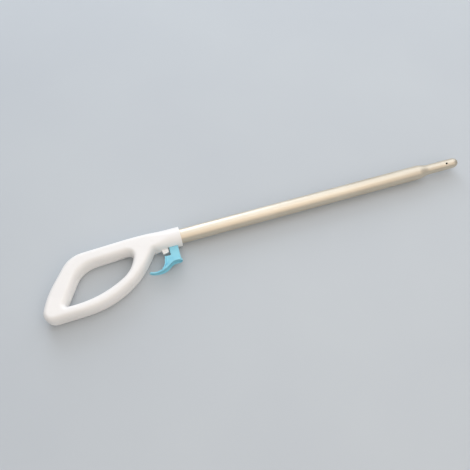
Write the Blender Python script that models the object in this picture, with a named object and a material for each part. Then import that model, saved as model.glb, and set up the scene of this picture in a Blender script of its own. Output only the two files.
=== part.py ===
"""Trigger handle of a reach tool: loop handle, swinging trigger, push rod and necked aluminium tube.

Units are metres. The pieces are drawn with the tube's axis on X, the collar's front face at x = 0, the loop
on the -Y side and the parting plane of the handle at z = 0. An empty then carries them all, so that the tool
lies on the floor with its middle over the origin.
"""

import math

import bmesh
import bpy
from mathutils import Matrix, Vector
from mathutils.geometry import interpolate_bezier

# Fits
FIT = 0.0003  # gap between pieces that touch or run on each other
PARTING_GAP = 0.0003  # gap between the two handle shells

# Tube
TUBE_DIA = 0.022
TUBE_WALL = 0.0012
TUBE_EXPOSED = 0.3865  # collar front to the start of the neck
TUBE_INSERT = 0.060  # length held in the handle
NECK_TAPER = 0.017
SPIGOT_DIA = 0.0155
SPIGOT_LENGTH = 0.043
SPIGOT_ROUND = 0.008  # length of the rolled end
TIP_OPENING = 0.009
TIP_HOLE_DIA = 0.003
TIP_HOLE_FROM_END = 0.0200
TIP_HOLE_TURN = 14.0  # degrees from straight up, towards the loop

# Handle
COLLAR_WALL = 0.0035
COLLAR_LENGTH = 0.036  # solid length round the tube
HANDLE_WALL = 0.0024
EDGE_ROUND = 0.0085  # width of the rounded flank of the bars
EDGE_POWER = 2.4  # 2 is an ellipse, higher is squarer
COLLAR_BLEND = 0.040  # length over which the bar's section turns into the collar's circle
TOP_BAR_WIDTH = 0.02217
RIB_THICKNESS = 0.0030
BOSS_DIA = 0.0076

# Outline of the loop, as x, y and corner radius. The collar closes it at the front.
LOOP_BACK = [
    (-0.2014, -0.0398, 0.131),
    (-0.2166, -0.0815, 0.0154),
    (-0.0858, -0.0775, 0.128),
]
LOOP_BEND_X, LOOP_BEND_ROUND = -0.075, 0.600  # behind here the top edge falls a little
LOOP_TOP_X, LOOP_TOP_ROUND = -0.1629, 0.041
LOOP_TOP_FALL = 0.00345
LOOP_FRONT_X, LOOP_FRONT_ROUND = -0.0433, 0.005
OPENING_SIDES = [
    (-0.1791, -0.0628, 0.0026),
    (-0.1312, -0.0637, 0.1455),
    (-0.0805, -0.0363, 0.044),
]
OPENING_FRONT_X, OPENING_FRONT_ROUND = -0.0706, 0.0082
OPENING_REAR_X, OPENING_REAR_ROUND = -0.1495, 0.039
OPENING_TOP_FALL = 0.00405  # the opening's top edge falls this much to the rear

# Trigger
PIVOT_BACK = 0.0140  # pivot behind the collar's front face
PIVOT_DROP = 0.0065  # pivot below the tube's axis
PIVOT_PIN_DIA = 0.003
SWING = 6.0  # degrees of pull
HUB_DIA = 0.009
STEM_LENGTH = 0.013  # along the tube
STEM_THICKNESS = 0.007
LEVER_REACH = 0.012  # pivot to the centre of the lever's nose
LEVER_NOSE_DIA = 0.005
LEVER_WAIST = 0.0034
LEVER_THICKNESS = 0.006
BAND_WIDTH = 0.015
BAND_TAIL_WIDTH = 0.0075
BAND_THICKNESS = 0.0030
FLANGE_WIDTH = 0.0105
FLANGE_THICKNESS = 0.0022
CHANNEL_DEPTH = 0.0016
CHANNEL_MARGIN = 0.0016  # rim beside the channel
# Finger face of the band from its front lip to its tail.
FINGER_FACE = [
    (-0.0064, -0.0392),
    (-0.0160, -0.0383),
    (-0.0225, -0.0403),
    (-0.0310, -0.0460),
    (-0.0400, -0.0487),
    (-0.0500, -0.0485),
    (-0.0572, -0.0456),
]
# Rear edge of the web from its shoulder down to the band.
WEB_REAR = [(-0.0299, -0.0267), (-0.0305, -0.0310), (-0.0330, -0.0390), (-0.0375, -0.0445)]
# Stop tab under the collar, behind the stem: how far it hangs, its length and its thickness.
TAB_DROP = 0.0073
TAB_LENGTH = 0.0101
TAB_THICKNESS = 0.0032

# Rod and what is on it
ROD_DIA = 0.005
ROD_SOCKET = 0.008  # depth of the rod in the crosshead
CROSSHEAD_REAR = 0.012  # crosshead behind the lever's nose
CROSSHEAD_NECK = 0.009  # crosshead's full round part
NUT_FLATS = 0.008
NUT_HEIGHT = 0.004
WASHER_DIA = 0.016
WASHER_THICKNESS = 0.0012
SPRING_DIA = 0.0112
SPRING_WIRE = 0.0012
SPRING_LENGTH = 0.031
SPRING_TURNS = 8
GUIDE_LENGTH = 0.012
MIDDLE_GUIDE_LENGTH = 0.008
FRONT_GUIDE_LENGTH = 0.014
CAP_LENGTH = 0.012
CAP_SOCKET = 0.008

# Tube end and fasteners
PLUG_LENGTH = 0.012
PLUG_FLANGE = 0.0025
DOWEL_DIA = 0.003
SCREW_DIA = 0.003
SCREW_HEAD_DIA = 0.006
SCREW_HEAD_HEIGHT = 0.0022
SCREW_SEAT = 0.008  # plastic under the screw head
SCREW_BITE = 0.009  # length of the screw in the upper shell
SCREW_PLACES = [
    (-0.0634, -0.0229),
    (-0.1120, 0.0019),
    (-0.1650, -0.0130),
    (-0.1920, -0.0640),
    (-0.1403, -0.0696),
    (-0.0925, -0.0530),
]

ROUND_STEPS = 40  # facets round the tube
SMALL_STEPS = 20  # facets round small pieces
OUTLINE_STEP = 0.008  # longest facet along the handle's outline
FLANK_STEPS = 5  # facets over the handle's rounded flank
WELD = 1e-6

# Sizes that follow
TUBE_RADIUS = TUBE_DIA / 2
BORE_RADIUS = TUBE_RADIUS - TUBE_WALL
SPIGOT_RADIUS = SPIGOT_DIA / 2
SPIGOT_BORE = SPIGOT_RADIUS - TUBE_WALL
ROD_RADIUS = ROD_DIA / 2
COLLAR_RADIUS = TUBE_RADIUS + FIT + COLLAR_WALL
NECK_END = TUBE_EXPOSED + NECK_TAPER
TUBE_TIP = NECK_END + SPIGOT_LENGTH + SPIGOT_ROUND
HALF_SWING = math.radians(SWING) / 2
PIVOT = Vector((-PIVOT_BACK, -PIVOT_DROP, 0))
NOSE = PIVOT + LEVER_REACH * Vector((-math.sin(HALF_SWING), math.cos(HALF_SWING), 0))
CAP_DIA = TIP_OPENING - 4 * FIT
ROD_STROKE = 2 * LEVER_REACH * math.sin(HALF_SWING)


def material(name, colour, roughness, metallic=0.0):
    made = bpy.data.materials.new(name)
    made.use_nodes = True
    shader = made.node_tree.nodes["Principled BSDF"]
    shader.inputs["Base Color"].default_value = (*colour, 1)
    shader.inputs["Roughness"].default_value = roughness
    shader.inputs["Metallic"].default_value = metallic
    return made


def add_object(name, mesh, parent, finish=None, smooth_angle=40):
    """One piece of the tool, or a helper where no finish is given."""
    made = bpy.data.objects.new(name, mesh)
    bpy.context.scene.collection.objects.link(made)
    made.parent = parent
    if finish is None:
        made.hide_render = True
        made.display_type = "WIRE"
    else:
        mesh.materials.append(finish)
        mesh.shade_smooth()
        mesh.set_sharp_from_angle(angle=math.radians(smooth_angle))
    return made


def mesh_from(bm, name):
    bmesh.ops.remove_doubles(bm, verts=bm.verts, dist=WELD)
    bmesh.ops.recalc_face_normals(bm, faces=bm.faces)
    if bm.calc_volume(signed=True) < 0:
        bmesh.ops.reverse_faces(bm, faces=bm.faces)
    mesh = bpy.data.meshes.new(name)
    bm.to_mesh(mesh)
    bm.free()
    return mesh


def boolean(target, other, operation):
    modifier = target.modifiers.new(other.name, "BOOLEAN")
    modifier.operation = operation
    modifier.object = other
    modifier.solver = "EXACT"


def turned_mesh(name, profile, steps=SMALL_STEPS):
    """A solid turned about the X axis from a closed profile of (x, radius) points."""
    bm = bmesh.new()
    points = [bm.verts.new((x, 0, r)) for x, r in profile]
    pairs = zip(points, points[1:] + points[:1])
    edges = [bm.edges.new(pair) for pair in pairs if max(v.co.z for v in pair) > 0]
    bmesh.ops.spin(
        bm,
        geom=points + edges,
        cent=(0, 0, 0),
        axis=(1, 0, 0),
        angle=math.tau,
        steps=steps,
        use_merge=True,
    )
    bmesh.ops.remove_doubles(bm, verts=bm.verts, dist=WELD)
    bmesh.ops.dissolve_degenerate(bm, edges=bm.edges, dist=WELD)
    return mesh_from(bm, name)


def add_prism(bm, outline, low, high):
    """Adds a flat outline in XY, raised from low to high along Z."""
    face = bm.faces.new([bm.verts.new((x, y, low)) for x, y in outline])
    raised = bmesh.ops.extrude_face_region(bm, geom=[face])["geom"]
    moved = [item for item in raised if isinstance(item, bmesh.types.BMVert)]
    bmesh.ops.translate(bm, verts=moved, vec=(0, 0, high - low))


def add_pin(bm, x, y, radius, low, high, steps=SMALL_STEPS):
    """Adds a round pin along Z."""
    place = Matrix.Translation((x, y, (low + high) / 2))
    bmesh.ops.create_cone(
        bm,
        cap_ends=True,
        segments=steps,
        radius1=radius,
        radius2=radius,
        depth=high - low,
        matrix=place,
    )


def add_rod(bm, radius, rear, front, steps=ROUND_STEPS):
    """Adds a round bar along X, on the tube's axis."""
    turn = Matrix.Rotation(math.pi / 2, 4, "Y")
    place = Matrix.Translation(((rear + front) / 2, 0, 0)) @ turn
    bmesh.ops.create_cone(
        bm,
        cap_ends=True,
        segments=steps,
        radius1=radius,
        radius2=radius,
        depth=front - rear,
        matrix=place,
    )


def add_box(bm, low, high):
    low, high = Vector(low), Vector(high)
    size = Matrix.Diagonal((*(high - low), 1))
    bmesh.ops.create_cube(bm, size=1, matrix=Matrix.Translation((low + high) / 2) @ size)


def rounded_outline(corners, step):
    """Points of a closed outline of (x, y, radius) corners, with arcs at the corners."""
    points = []
    count = len(corners)
    for i, (x, y, radius) in enumerate(corners):
        here = Vector((x, y))
        to_last = (Vector(corners[i - 1][:2]) - here).normalized()
        to_next = (Vector(corners[(i + 1) % count][:2]) - here).normalized()
        if radius == 0:
            points.append(here)
            continue
        half = to_last.angle(to_next) / 2
        centre = here + (to_last + to_next).normalized() * radius / math.sin(half)
        start = here + to_last * radius / math.tan(half) - centre
        end = here + to_next * radius / math.tan(half) - centre
        turn = start.angle_signed(end)
        arcs = max(3, math.ceil(abs(turn) * max(radius, step / 2) / step), math.ceil(abs(turn) / 0.35))
        for k in range(arcs + 1):
            points.append(centre + Matrix.Rotation(-turn * k / arcs, 2) @ start)
    filled = []
    for a, b in zip(points, points[1:] + points[:1]):
        pieces = max(1, math.ceil((b - a).length / (1.5 * step)))
        if b == points[0] and has_square_front(corners):
            pieces = 1
        filled += [a.lerp(b, k / pieces) for k in range(pieces)]
    return filled


def has_square_front(corners):
    return corners[0][2] == 0 and corners[-1][2] == 0


def inward_normals(points, sign):
    """Unit normals of an outline, to the left of its run for a sign of 1. The handle's front stays square."""
    normals = []
    for i, here in enumerate(points):
        run = (points[(i + 1) % len(points)] - here).normalized() + (here - points[i - 1]).normalized()
        normals.append(Vector((-run.y, run.x)).normalized() * sign)
    if sign == 1:
        normals[0], normals[-1] = Vector((0, -1)), Vector((0, 1))
    return normals


def moved_inward(points, normals, distance):
    return [p + n * distance for p, n in zip(points, normals)]


def handle_outline(front):
    corners = [
        (front, COLLAR_RADIUS, 0),
        (LOOP_BEND_X, COLLAR_RADIUS, LOOP_BEND_ROUND),
        (LOOP_TOP_X, COLLAR_RADIUS - LOOP_TOP_FALL, LOOP_TOP_ROUND),
        *LOOP_BACK,
        (LOOP_FRONT_X, -COLLAR_RADIUS, LOOP_FRONT_ROUND),
        (front, -COLLAR_RADIUS, 0),
    ]
    return rounded_outline(corners, OUTLINE_STEP)


def opening_outline():
    top = COLLAR_RADIUS - TOP_BAR_WIDTH
    corners = [
        (OPENING_FRONT_X, top, OPENING_FRONT_ROUND),
        (OPENING_REAR_X, top - OPENING_TOP_FALL, OPENING_REAR_ROUND),
        *OPENING_SIDES,
    ]
    return rounded_outline(corners, OUTLINE_STEP)


def flank_width(x):
    """Width of the rounded flank: the bar's own width, which grows to a half circle at the collar."""
    share = min(1, max(0, (x + COLLAR_LENGTH + COLLAR_BLEND / 2) / COLLAR_BLEND))
    share = share * share * (3 - 2 * share)
    return EDGE_ROUND + share * (0.97 * COLLAR_RADIUS - EDGE_ROUND)


def flank_power(x):
    share = (flank_width(x) - EDGE_ROUND) / (0.97 * COLLAR_RADIUS - EDGE_ROUND)
    return EDGE_POWER + share * (2 - EDGE_POWER)


def add_crowned_plate(bm, outer, opening, wall, base, height):
    """Adds a plate in XY with an opening, whose edges rise from base in rounded flanks to a flat top."""
    ends = []
    for outline, other, sign in ((outer, opening, 1), (opening, outer, -1)):
        normals = inward_normals(outline, sign)
        room = [min((p - q).length for q in other) for p in outline]
        foot = moved_inward(outline, normals, wall)
        rings = [[bm.verts.new((p.x, p.y, base)) for p in foot]]
        if base < 0:
            rings.append([bm.verts.new((p.x, p.y, 0)) for p in foot])
        for k in range(1, FLANK_STEPS + 1):
            turn = math.pi / 2 * k / FLANK_STEPS
            ring = []
            for p, n, space in zip(outline, normals, room):
                x = p.x if sign == 1 else OPENING_REAR_X
                power = flank_power(x)
                width = min(flank_width(x), 0.47 * space) - wall
                inset = (1 - max(0, math.cos(turn)) ** (2 / power)) * width
                rise = math.sin(turn) ** (2 / power) * height
                spot = p + n * (wall + inset)
                ring.append(bm.verts.new((spot.x, spot.y, rise)))
            rings.append(ring)
        for low, high in zip(rings, rings[1:]):
            for i in range(len(low)):
                j = (i + 1) % len(low)
                bm.faces.new((low[i], low[j], high[j], high[i]))
        ends.append((rings[0], rings[-1]))
    for rings in zip(*ends):
        loops = []
        for ring in rings:
            loops += [bm.edges.get((a, b)) for a, b in zip(ring, ring[1:] + ring[:1])]
        bmesh.ops.triangle_fill(bm, use_beauty=True, edges=loops)


def smooth_path(points, steps):
    """Points of a smooth curve through the given points."""
    vectors = [Vector((*p, 0)) for p in points]
    path = []
    for i in range(len(vectors) - 1):
        before = vectors[max(0, i - 1)]
        after = vectors[min(len(vectors) - 1, i + 2)]
        first = vectors[i] + (vectors[i + 1] - before) / 6
        second = vectors[i + 1] - (after - vectors[i]) / 6
        piece = interpolate_bezier(vectors[i], first, second, vectors[i + 1], steps + 1)
        path += piece if i == len(vectors) - 2 else piece[:-1]
    return [p.to_2d() for p in path]


def ribbon(points, thickness, steps=4):
    """Outline of a curved strip: the given face and the same face moved by the thickness."""
    path = smooth_path(points, steps)
    moved = []
    for i, here in enumerate(path):
        run = (path[min(i + 1, len(path) - 1)] - path[max(i - 1, 0)]).normalized()
        moved.append(here + Vector((run.y, -run.x)) * thickness)
    return [tuple(p) for p in path + moved[::-1]]


def side_solid(name, bm, side):
    """A mesh drawn above the parting plane, kept there for the upper shell or mirrored for the lower."""
    if side < 0:
        bmesh.ops.scale(bm, vec=(1, 1, -1), verts=bm.verts)
    return mesh_from(bm, name)


def chord(radius, offset):
    return math.sqrt(max(0, radius * radius - offset * offset))


def handle_shell(side, word, parent, finish):
    """One half of the handle: crowned skin, hollow bars, solid collar, ribs, bosses and bores."""
    half = COLLAR_RADIUS
    roof = half - HANDLE_WALL
    overrun = 2 * HANDLE_WALL
    opening = opening_outline()

    bm = bmesh.new()
    add_crowned_plate(bm, handle_outline(0), opening, 0, -overrun, half)
    shell = add_object("handle_shell_" + word, side_solid("shell", bm, side), parent, finish, 30)

    bm = bmesh.new()
    add_crowned_plate(bm, handle_outline(-COLLAR_LENGTH), opening, HANDLE_WALL, -2 * overrun, roof)
    hollow = add_object("hollow_" + word, side_solid("hollow", bm, side), parent)
    boolean(shell, hollow, "DIFFERENCE")

    # Ribs across the hollow: one carries the tube, the next stops its plug.
    bm = bmesh.new()
    sunk = HANDLE_WALL / 2
    plug_back = TUBE_INSERT + FIT + PLUG_FLANGE + FIT
    saddle = TUBE_INSERT - 2 * RIB_THICKNESS
    for rib in (saddle, plug_back):
        add_box(
            bm,
            (-rib - RIB_THICKNESS, -TUBE_RADIUS, -sunk),
            (-rib, half, half),
        )
    for x, y in SCREW_PLACES:
        add_pin(bm, x, y, BOSS_DIA / 2, -sunk, half)
    ribs = add_object("ribs_" + word, side_solid("ribs", bm, side), parent)
    bm = bmesh.new()
    add_crowned_plate(bm, handle_outline(-COLLAR_LENGTH), opening, sunk, -overrun, roof + sunk)
    inside = add_object("rib_bounds_" + word, side_solid("rib_bounds", bm, side), parent)
    boolean(ribs, inside, "INTERSECT")
    boolean(shell, ribs, "UNION")

    # Stop tab under the collar.
    slot_rear = stem_rear() - stem_sweep() - FIT
    bm = bmesh.new()
    root = -chord(COLLAR_RADIUS, TAB_THICKNESS / 2) + HANDLE_WALL / 2
    tab_front = slot_rear + 0.1 * TAB_LENGTH
    tab = [
        (tab_front, root),
        (slot_rear - TAB_LENGTH, root),
        (slot_rear - 0.85 * TAB_LENGTH, -COLLAR_RADIUS - TAB_DROP),
        (tab_front, -COLLAR_RADIUS - 0.72 * TAB_DROP),
    ]
    add_prism(bm, tab, -HANDLE_WALL, TAB_THICKNESS / 2)
    tab = add_object("tab_" + word, side_solid("tab", bm, side), parent)
    boolean(shell, tab, "UNION")

    # Everything is drawn past the parting plane and cut off there.
    bm = bmesh.new()
    outline = handle_outline(0)
    low = Vector((min(p.x for p in outline), min(p.y for p in outline), -overrun))
    high = Vector((0, COLLAR_RADIUS, PARTING_GAP / 2))
    margin = Vector((overrun, overrun, 0))
    add_box(bm, low - margin - Vector((0, 0, overrun)), high + margin)
    parting = add_object("parting_" + word, side_solid("parting", bm, side), parent)
    boolean(shell, parting, "DIFFERENCE")

    # Tube bore, stem slot, pin and dowel seats.
    bm = bmesh.new()
    bore = TUBE_RADIUS + FIT
    add_rod(bm, bore, -TUBE_INSERT - FIT, TUBE_INSERT)
    bore_cut = add_object("bore_" + word, mesh_from(bm, "bore"), parent)
    boolean(shell, bore_cut, "DIFFERENCE")

    bm = bmesh.new()
    add_box(
        bm,
        (slot_rear, -COLLAR_RADIUS - TAB_DROP - overrun, -overrun),
        (stem_front() + FIT, -PIVOT_DROP, STEM_THICKNESS / 2 + FIT),
    )
    slot_cut = add_object("slot_" + word, side_solid("slot", bm, side), parent)
    boolean(shell, slot_cut, "DIFFERENCE")

    bm = bmesh.new()
    add_pin(bm, PIVOT.x, PIVOT.y, PIVOT_PIN_DIA / 2 + FIT, -overrun, pin_half_length() + FIT)
    add_pin(bm, -dowel_back(), 0, DOWEL_DIA / 2 + FIT, -overrun, dowel_half_length() + FIT)
    pins = add_object("pin_seats_" + word, side_solid("pin_seats", bm, side), parent)
    boolean(shell, pins, "DIFFERENCE")

    bm = bmesh.new()
    for x, y in SCREW_PLACES:
        if side > 0:
            add_pin(bm, x, y, SCREW_DIA / 2 + FIT, -overrun, SCREW_BITE + FIT)
        else:
            add_pin(bm, x, y, SCREW_DIA / 2 + FIT, -overrun, SCREW_SEAT + overrun)
    screws = add_object("screw_holes_" + word, side_solid("screw_holes", bm, side), parent)
    boolean(shell, screws, "DIFFERENCE")
    if side < 0:
        bm = bmesh.new()
        for x, y in SCREW_PLACES:
            add_pin(bm, x, y, SCREW_HEAD_DIA / 2 + FIT, SCREW_SEAT, half + overrun)
        pockets = add_object("head_pockets", side_solid("head_pockets", bm, side), parent)
        boolean(shell, pockets, "DIFFERENCE")
    return shell


def stem_front():
    return -PIVOT_BACK + STEM_LENGTH / 2


def stem_rear():
    return -PIVOT_BACK - STEM_LENGTH / 2


def stem_sweep():
    """How far the stem moves back at the stop tab when the trigger is pulled."""
    return (COLLAR_RADIUS + TAB_DROP - PIVOT_DROP) * math.sin(math.radians(SWING))


def pin_half_length():
    """The pivot pin stops inside the collar's wall."""
    skin = COLLAR_WALL / 2
    return chord(COLLAR_RADIUS - skin, PIVOT_DROP + PIVOT_PIN_DIA / 2)


def dowel_back():
    return TUBE_INSERT - PLUG_LENGTH / 2


def dowel_half_length():
    return COLLAR_RADIUS - HANDLE_WALL / 2


def main_tube(parent, finish):
    """Drawn tube with its neck and rolled end, slotted for the trigger and drilled for its pins."""
    steps = 6
    outside, inside = [], []
    roll_start, lip = NECK_END + SPIGOT_LENGTH, TIP_OPENING / 2
    for points, radius, length in (
        (outside, SPIGOT_RADIUS, SPIGOT_ROUND),
        (inside, SPIGOT_BORE, SPIGOT_ROUND - TUBE_WALL),
    ):
        last = math.acos(lip / radius)  # the dome stops at the opening
        for k in range(steps + 1):
            turn = last * k / steps
            along = math.sin(turn) / math.sin(last)
            points.append((roll_start + along * length, radius * math.cos(turn)))
    taper_out, taper_in = [], []
    for k in range(steps + 1):
        share = k / steps
        ease = (share + share * share * (3 - 2 * share)) / 2
        x = TUBE_EXPOSED + share * NECK_TAPER
        taper_out.append((x, TUBE_RADIUS + ease * (SPIGOT_RADIUS - TUBE_RADIUS)))
        taper_in.append((x, BORE_RADIUS + ease * (SPIGOT_BORE - BORE_RADIUS)))
    profile = [(-TUBE_INSERT, TUBE_RADIUS), *taper_out, *outside]
    profile += [*inside[::-1], *taper_in[::-1], (-TUBE_INSERT, BORE_RADIUS)]
    tube = add_object("main_tube", turned_mesh("main_tube", profile, ROUND_STEPS), parent, finish)

    bm = bmesh.new()
    add_box(
        bm,
        (stem_rear() - stem_sweep() - FIT, -TUBE_DIA, -STEM_THICKNESS / 2 - FIT),
        (stem_front() + FIT, -chord(BORE_RADIUS, STEM_THICKNESS / 2 + FIT) + TUBE_WALL, STEM_THICKNESS / 2 + FIT),
    )
    boolean(tube, add_object("tube_slot", mesh_from(bm, "tube_slot"), parent), "DIFFERENCE")

    bm = bmesh.new()
    add_pin(bm, PIVOT.x, PIVOT.y, PIVOT_PIN_DIA / 2 + FIT, -TUBE_DIA, TUBE_DIA)
    add_pin(bm, -dowel_back(), 0, DOWEL_DIA / 2 + FIT, -TUBE_DIA, TUBE_DIA)
    boolean(tube, add_object("tube_holes", mesh_from(bm, "tube_holes"), parent), "DIFFERENCE")

    bm = bmesh.new()
    add_pin(bm, TUBE_TIP - TIP_HOLE_FROM_END, 0, TIP_HOLE_DIA / 2, SPIGOT_RADIUS / 2, TUBE_DIA)
    turn = Matrix.Rotation(math.radians(TIP_HOLE_TURN), 4, "X")
    bmesh.ops.transform(bm, matrix=turn, verts=bm.verts)
    boolean(tube, add_object("tip_hole", mesh_from(bm, "tip_hole"), parent), "DIFFERENCE")
    return tube


def band_solid(name, face, thickness, margin, parent):
    """A curved strip drawn from its edge, trimmed to the band's tapered shape less a margin."""
    bm = bmesh.new()
    add_prism(bm, ribbon(face, thickness), -BAND_WIDTH, BAND_WIDTH)
    strip = add_object(name, mesh_from(bm, name), parent)
    bm = bmesh.new()
    lip, tail = FINGER_FACE[0][0] - margin + FIT, FINGER_FACE[-1][0] + margin - FIT
    waist = FINGER_FACE[3][0]
    taper_end = (waist + tail) / 2
    wide, narrow = BAND_WIDTH / 2 - margin, BAND_TAIL_WIDTH / 2 - margin
    half = [
        (lip, wide, 0.95 * wide),
        (waist, wide, BAND_WIDTH),
        (taper_end, narrow, BAND_WIDTH),
        (tail, narrow, 0.9 * narrow),
    ]
    mirrored = [(x, -y, radius) for x, y, radius in half[::-1]]
    outline = rounded_outline(half + mirrored, OUTLINE_STEP)
    add_prism(bm, [tuple(p) for p in outline], 0, 2 * BAND_WIDTH)
    turn = Matrix.Rotation(math.pi / 2, 4, "X")
    stand = Matrix.Translation((0, FINGER_FACE[3][1] + BAND_WIDTH, 0)) @ turn
    bmesh.ops.transform(bm, matrix=stand, verts=bm.verts)
    boolean(strip, add_object(name + "_side", mesh_from(bm, name), parent), "INTERSECT")
    return strip


def trigger(parent, finish):
    """Finger band, web with its rear flange, stem, hub and the lever that works the crosshead."""
    half_stem = STEM_THICKNESS / 2
    here = Matrix.Translation(-PIVOT)

    bm = bmesh.new()
    sunk = BAND_THICKNESS / 2
    band_top = [(x, y + sunk) for x, y in FINGER_FACE[1:5]]
    neck = -PIVOT_DROP
    web = [
        (-PIVOT_BACK + HUB_DIA / 2, neck),
        (stem_front(), -TUBE_RADIUS - FIT),
        (stem_front() - FIT, FINGER_FACE[0][1] + sunk),
        *band_top,
        *WEB_REAR[::-1],
        (stem_rear() - FIT, WEB_REAR[0][1]),
        (stem_rear(), -TUBE_RADIUS - FIT),
        (-PIVOT_BACK - HUB_DIA / 2, neck),
    ]
    add_prism(bm, web[::-1], -half_stem, half_stem)
    bmesh.ops.transform(bm, matrix=here, verts=bm.verts)
    body = add_object("trigger", mesh_from(bm, "trigger"), parent, finish, 35)
    body.location = PIVOT

    # Finger band, drawn from its edge and trimmed from its side.
    band = band_solid("finger_band", FINGER_FACE, BAND_THICKNESS, 0, parent)
    boolean(body, band, "UNION")

    bm = bmesh.new()
    flange = FLANGE_WIDTH / 2
    add_prism(bm, ribbon(WEB_REAR, -FLANGE_THICKNESS, 2), -flange, flange)
    boolean(body, add_object("web_flange", mesh_from(bm, "web_flange"), parent), "UNION")

    bm = bmesh.new()
    add_pin(bm, PIVOT.x, PIVOT.y, HUB_DIA / 2, -half_stem, half_stem)
    boolean(body, add_object("hub", mesh_from(bm, "hub"), parent), "UNION")

    # Lever above the pivot, leaning back by half the swing at rest.
    bm = bmesh.new()
    half_lever, half_waist = LEVER_THICKNESS / 2, LEVER_WAIST / 2
    add_box(bm, (-half_waist, 0, -half_lever), (half_waist, LEVER_REACH, half_lever))
    lean = Matrix.Translation(PIVOT) @ Matrix.Rotation(HALF_SWING, 4, "Z")
    bmesh.ops.transform(bm, matrix=lean, verts=bm.verts)
    boolean(body, add_object("lever", mesh_from(bm, "lever"), parent), "UNION")
    bm = bmesh.new()
    add_pin(bm, NOSE.x, NOSE.y, LEVER_NOSE_DIA / 2, -half_lever, half_lever)
    boolean(body, add_object("lever_nose", mesh_from(bm, "lever_nose"), parent), "UNION")

    # Shallow channel along the finger face.
    face = [(x, y - CHANNEL_DEPTH) for x, y in FINGER_FACE]
    channel = band_solid("finger_channel", face, 2 * CHANNEL_DEPTH, CHANNEL_MARGIN, parent)
    boolean(body, channel, "DIFFERENCE")

    bm = bmesh.new()
    add_pin(bm, PIVOT.x, PIVOT.y, PIVOT_PIN_DIA / 2 + FIT, -STEM_THICKNESS, STEM_THICKNESS)
    boolean(body, add_object("hub_bore", mesh_from(bm, "hub_bore"), parent), "DIFFERENCE")
    return body


def bush_profile(outer, inner, rear, front):
    """Plain bush with its outer edges broken."""
    edge = (outer - inner) / 8
    return [
        (rear, inner),
        (rear, outer - edge),
        (rear + edge, outer),
        (front - edge, outer),
        (front, outer - edge),
        (front, inner),
    ]


def rod_stations():
    """Rear end of each piece along the rod, in order from the crosshead's round part forwards."""
    neck_rear = -PIVOT_BACK + HUB_DIA / 2 + STEM_LENGTH / 4
    front = neck_rear + CROSSHEAD_NECK
    nut = front + FIT
    washer = nut + NUT_HEIGHT + FIT
    spring = washer + WASHER_THICKNESS + FIT
    seat = spring + SPRING_LENGTH + FIT
    return {"neck": neck_rear, "front": front, "nut": nut, "washer": washer, "spring": spring, "seat": seat}


def crosshead(parent, finish):
    """Slider in the tube: a round neck that holds the rod and an upper half with the lever's slot."""
    radius = BORE_RADIUS - FIT
    at = rod_stations()
    rear = NOSE.x - CROSSHEAD_REAR
    profile = [(rear, 0), (rear, radius), (at["front"], radius), (at["front"], 0)]
    block = add_object("crosshead", turned_mesh("crosshead", profile, ROUND_STEPS), parent, finish)

    bm = bmesh.new()
    floor = PIVOT.y + HUB_DIA / 2 + 2 * FIT
    add_box(bm, (rear - TUBE_DIA, -TUBE_DIA, -TUBE_DIA), (at["neck"], floor, TUBE_DIA))
    boolean(block, add_object("crosshead_belly", mesh_from(bm, "crosshead_belly"), parent), "DIFFERENCE")

    bm = bmesh.new()
    reach = LEVER_NOSE_DIA / 2 + FIT
    side = LEVER_THICKNESS / 2 + FIT
    add_box(bm, (NOSE.x - reach, -TUBE_DIA, -side), (NOSE.x + reach, TUBE_DIA, side))
    boolean(block, add_object("crosshead_slot", mesh_from(bm, "crosshead_slot"), parent), "DIFFERENCE")

    bm = bmesh.new()
    add_rod(bm, ROD_RADIUS + FIT, at["front"] - ROD_SOCKET - FIT, at["front"] + ROD_SOCKET, SMALL_STEPS)
    boolean(block, add_object("rod_socket", mesh_from(bm, "rod_socket"), parent), "DIFFERENCE")
    return block


def rod_pieces(parent, steel, zinc, plastic):
    at = rod_stations()
    rod_front = TUBE_TIP - FIT - (CAP_LENGTH - CAP_SOCKET)
    rod_rear = at["front"] - ROD_SOCKET
    profile = [(rod_rear, 0), (rod_rear, ROD_RADIUS), (rod_front - FIT, ROD_RADIUS), (rod_front - FIT, 0)]
    add_object("push_rod", turned_mesh("push_rod", profile), parent, steel)

    bm = bmesh.new()
    across = NUT_FLATS / math.sqrt(3)
    add_rod(bm, across, at["nut"], at["nut"] + NUT_HEIGHT, 6)
    nut = add_object("rod_lock_nut", mesh_from(bm, "rod_lock_nut"), parent, zinc)
    bm = bmesh.new()
    add_rod(bm, ROD_RADIUS + FIT, at["nut"] - NUT_HEIGHT, at["nut"] + 2 * NUT_HEIGHT, SMALL_STEPS)
    boolean(nut, add_object("nut_bore", mesh_from(bm, "nut_bore"), parent), "DIFFERENCE")

    washer = bush_profile(WASHER_DIA / 2, ROD_RADIUS + FIT, at["washer"], at["washer"] + WASHER_THICKNESS)
    square = [(at["washer"], washer[0][1]), (at["washer"], WASHER_DIA / 2)]
    square += [(at["washer"] + WASHER_THICKNESS, WASHER_DIA / 2), (at["washer"] + WASHER_THICKNESS, washer[0][1])]
    add_object("spring_washer", turned_mesh("spring_washer", square), parent, zinc)

    cap_front = TUBE_TIP - FIT
    cap_rear = cap_front - CAP_LENGTH
    socket = ROD_RADIUS + FIT
    dome = [(cap_rear, socket), (cap_rear, CAP_DIA / 2)]
    steps = 4
    crown = CAP_DIA / 4
    for k in range(steps + 1):
        turn = math.pi / 2 * k / steps
        dome.append((cap_front - crown + crown * math.sin(turn), CAP_DIA / 2 * math.cos(turn)))
    dome[-1] = (cap_front, 0)
    dome += [(cap_rear + CAP_SOCKET, 0), (cap_rear + CAP_SOCKET, socket)]
    add_object("rod_tip_cap", turned_mesh("rod_tip_cap", dome), parent, plastic)


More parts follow.
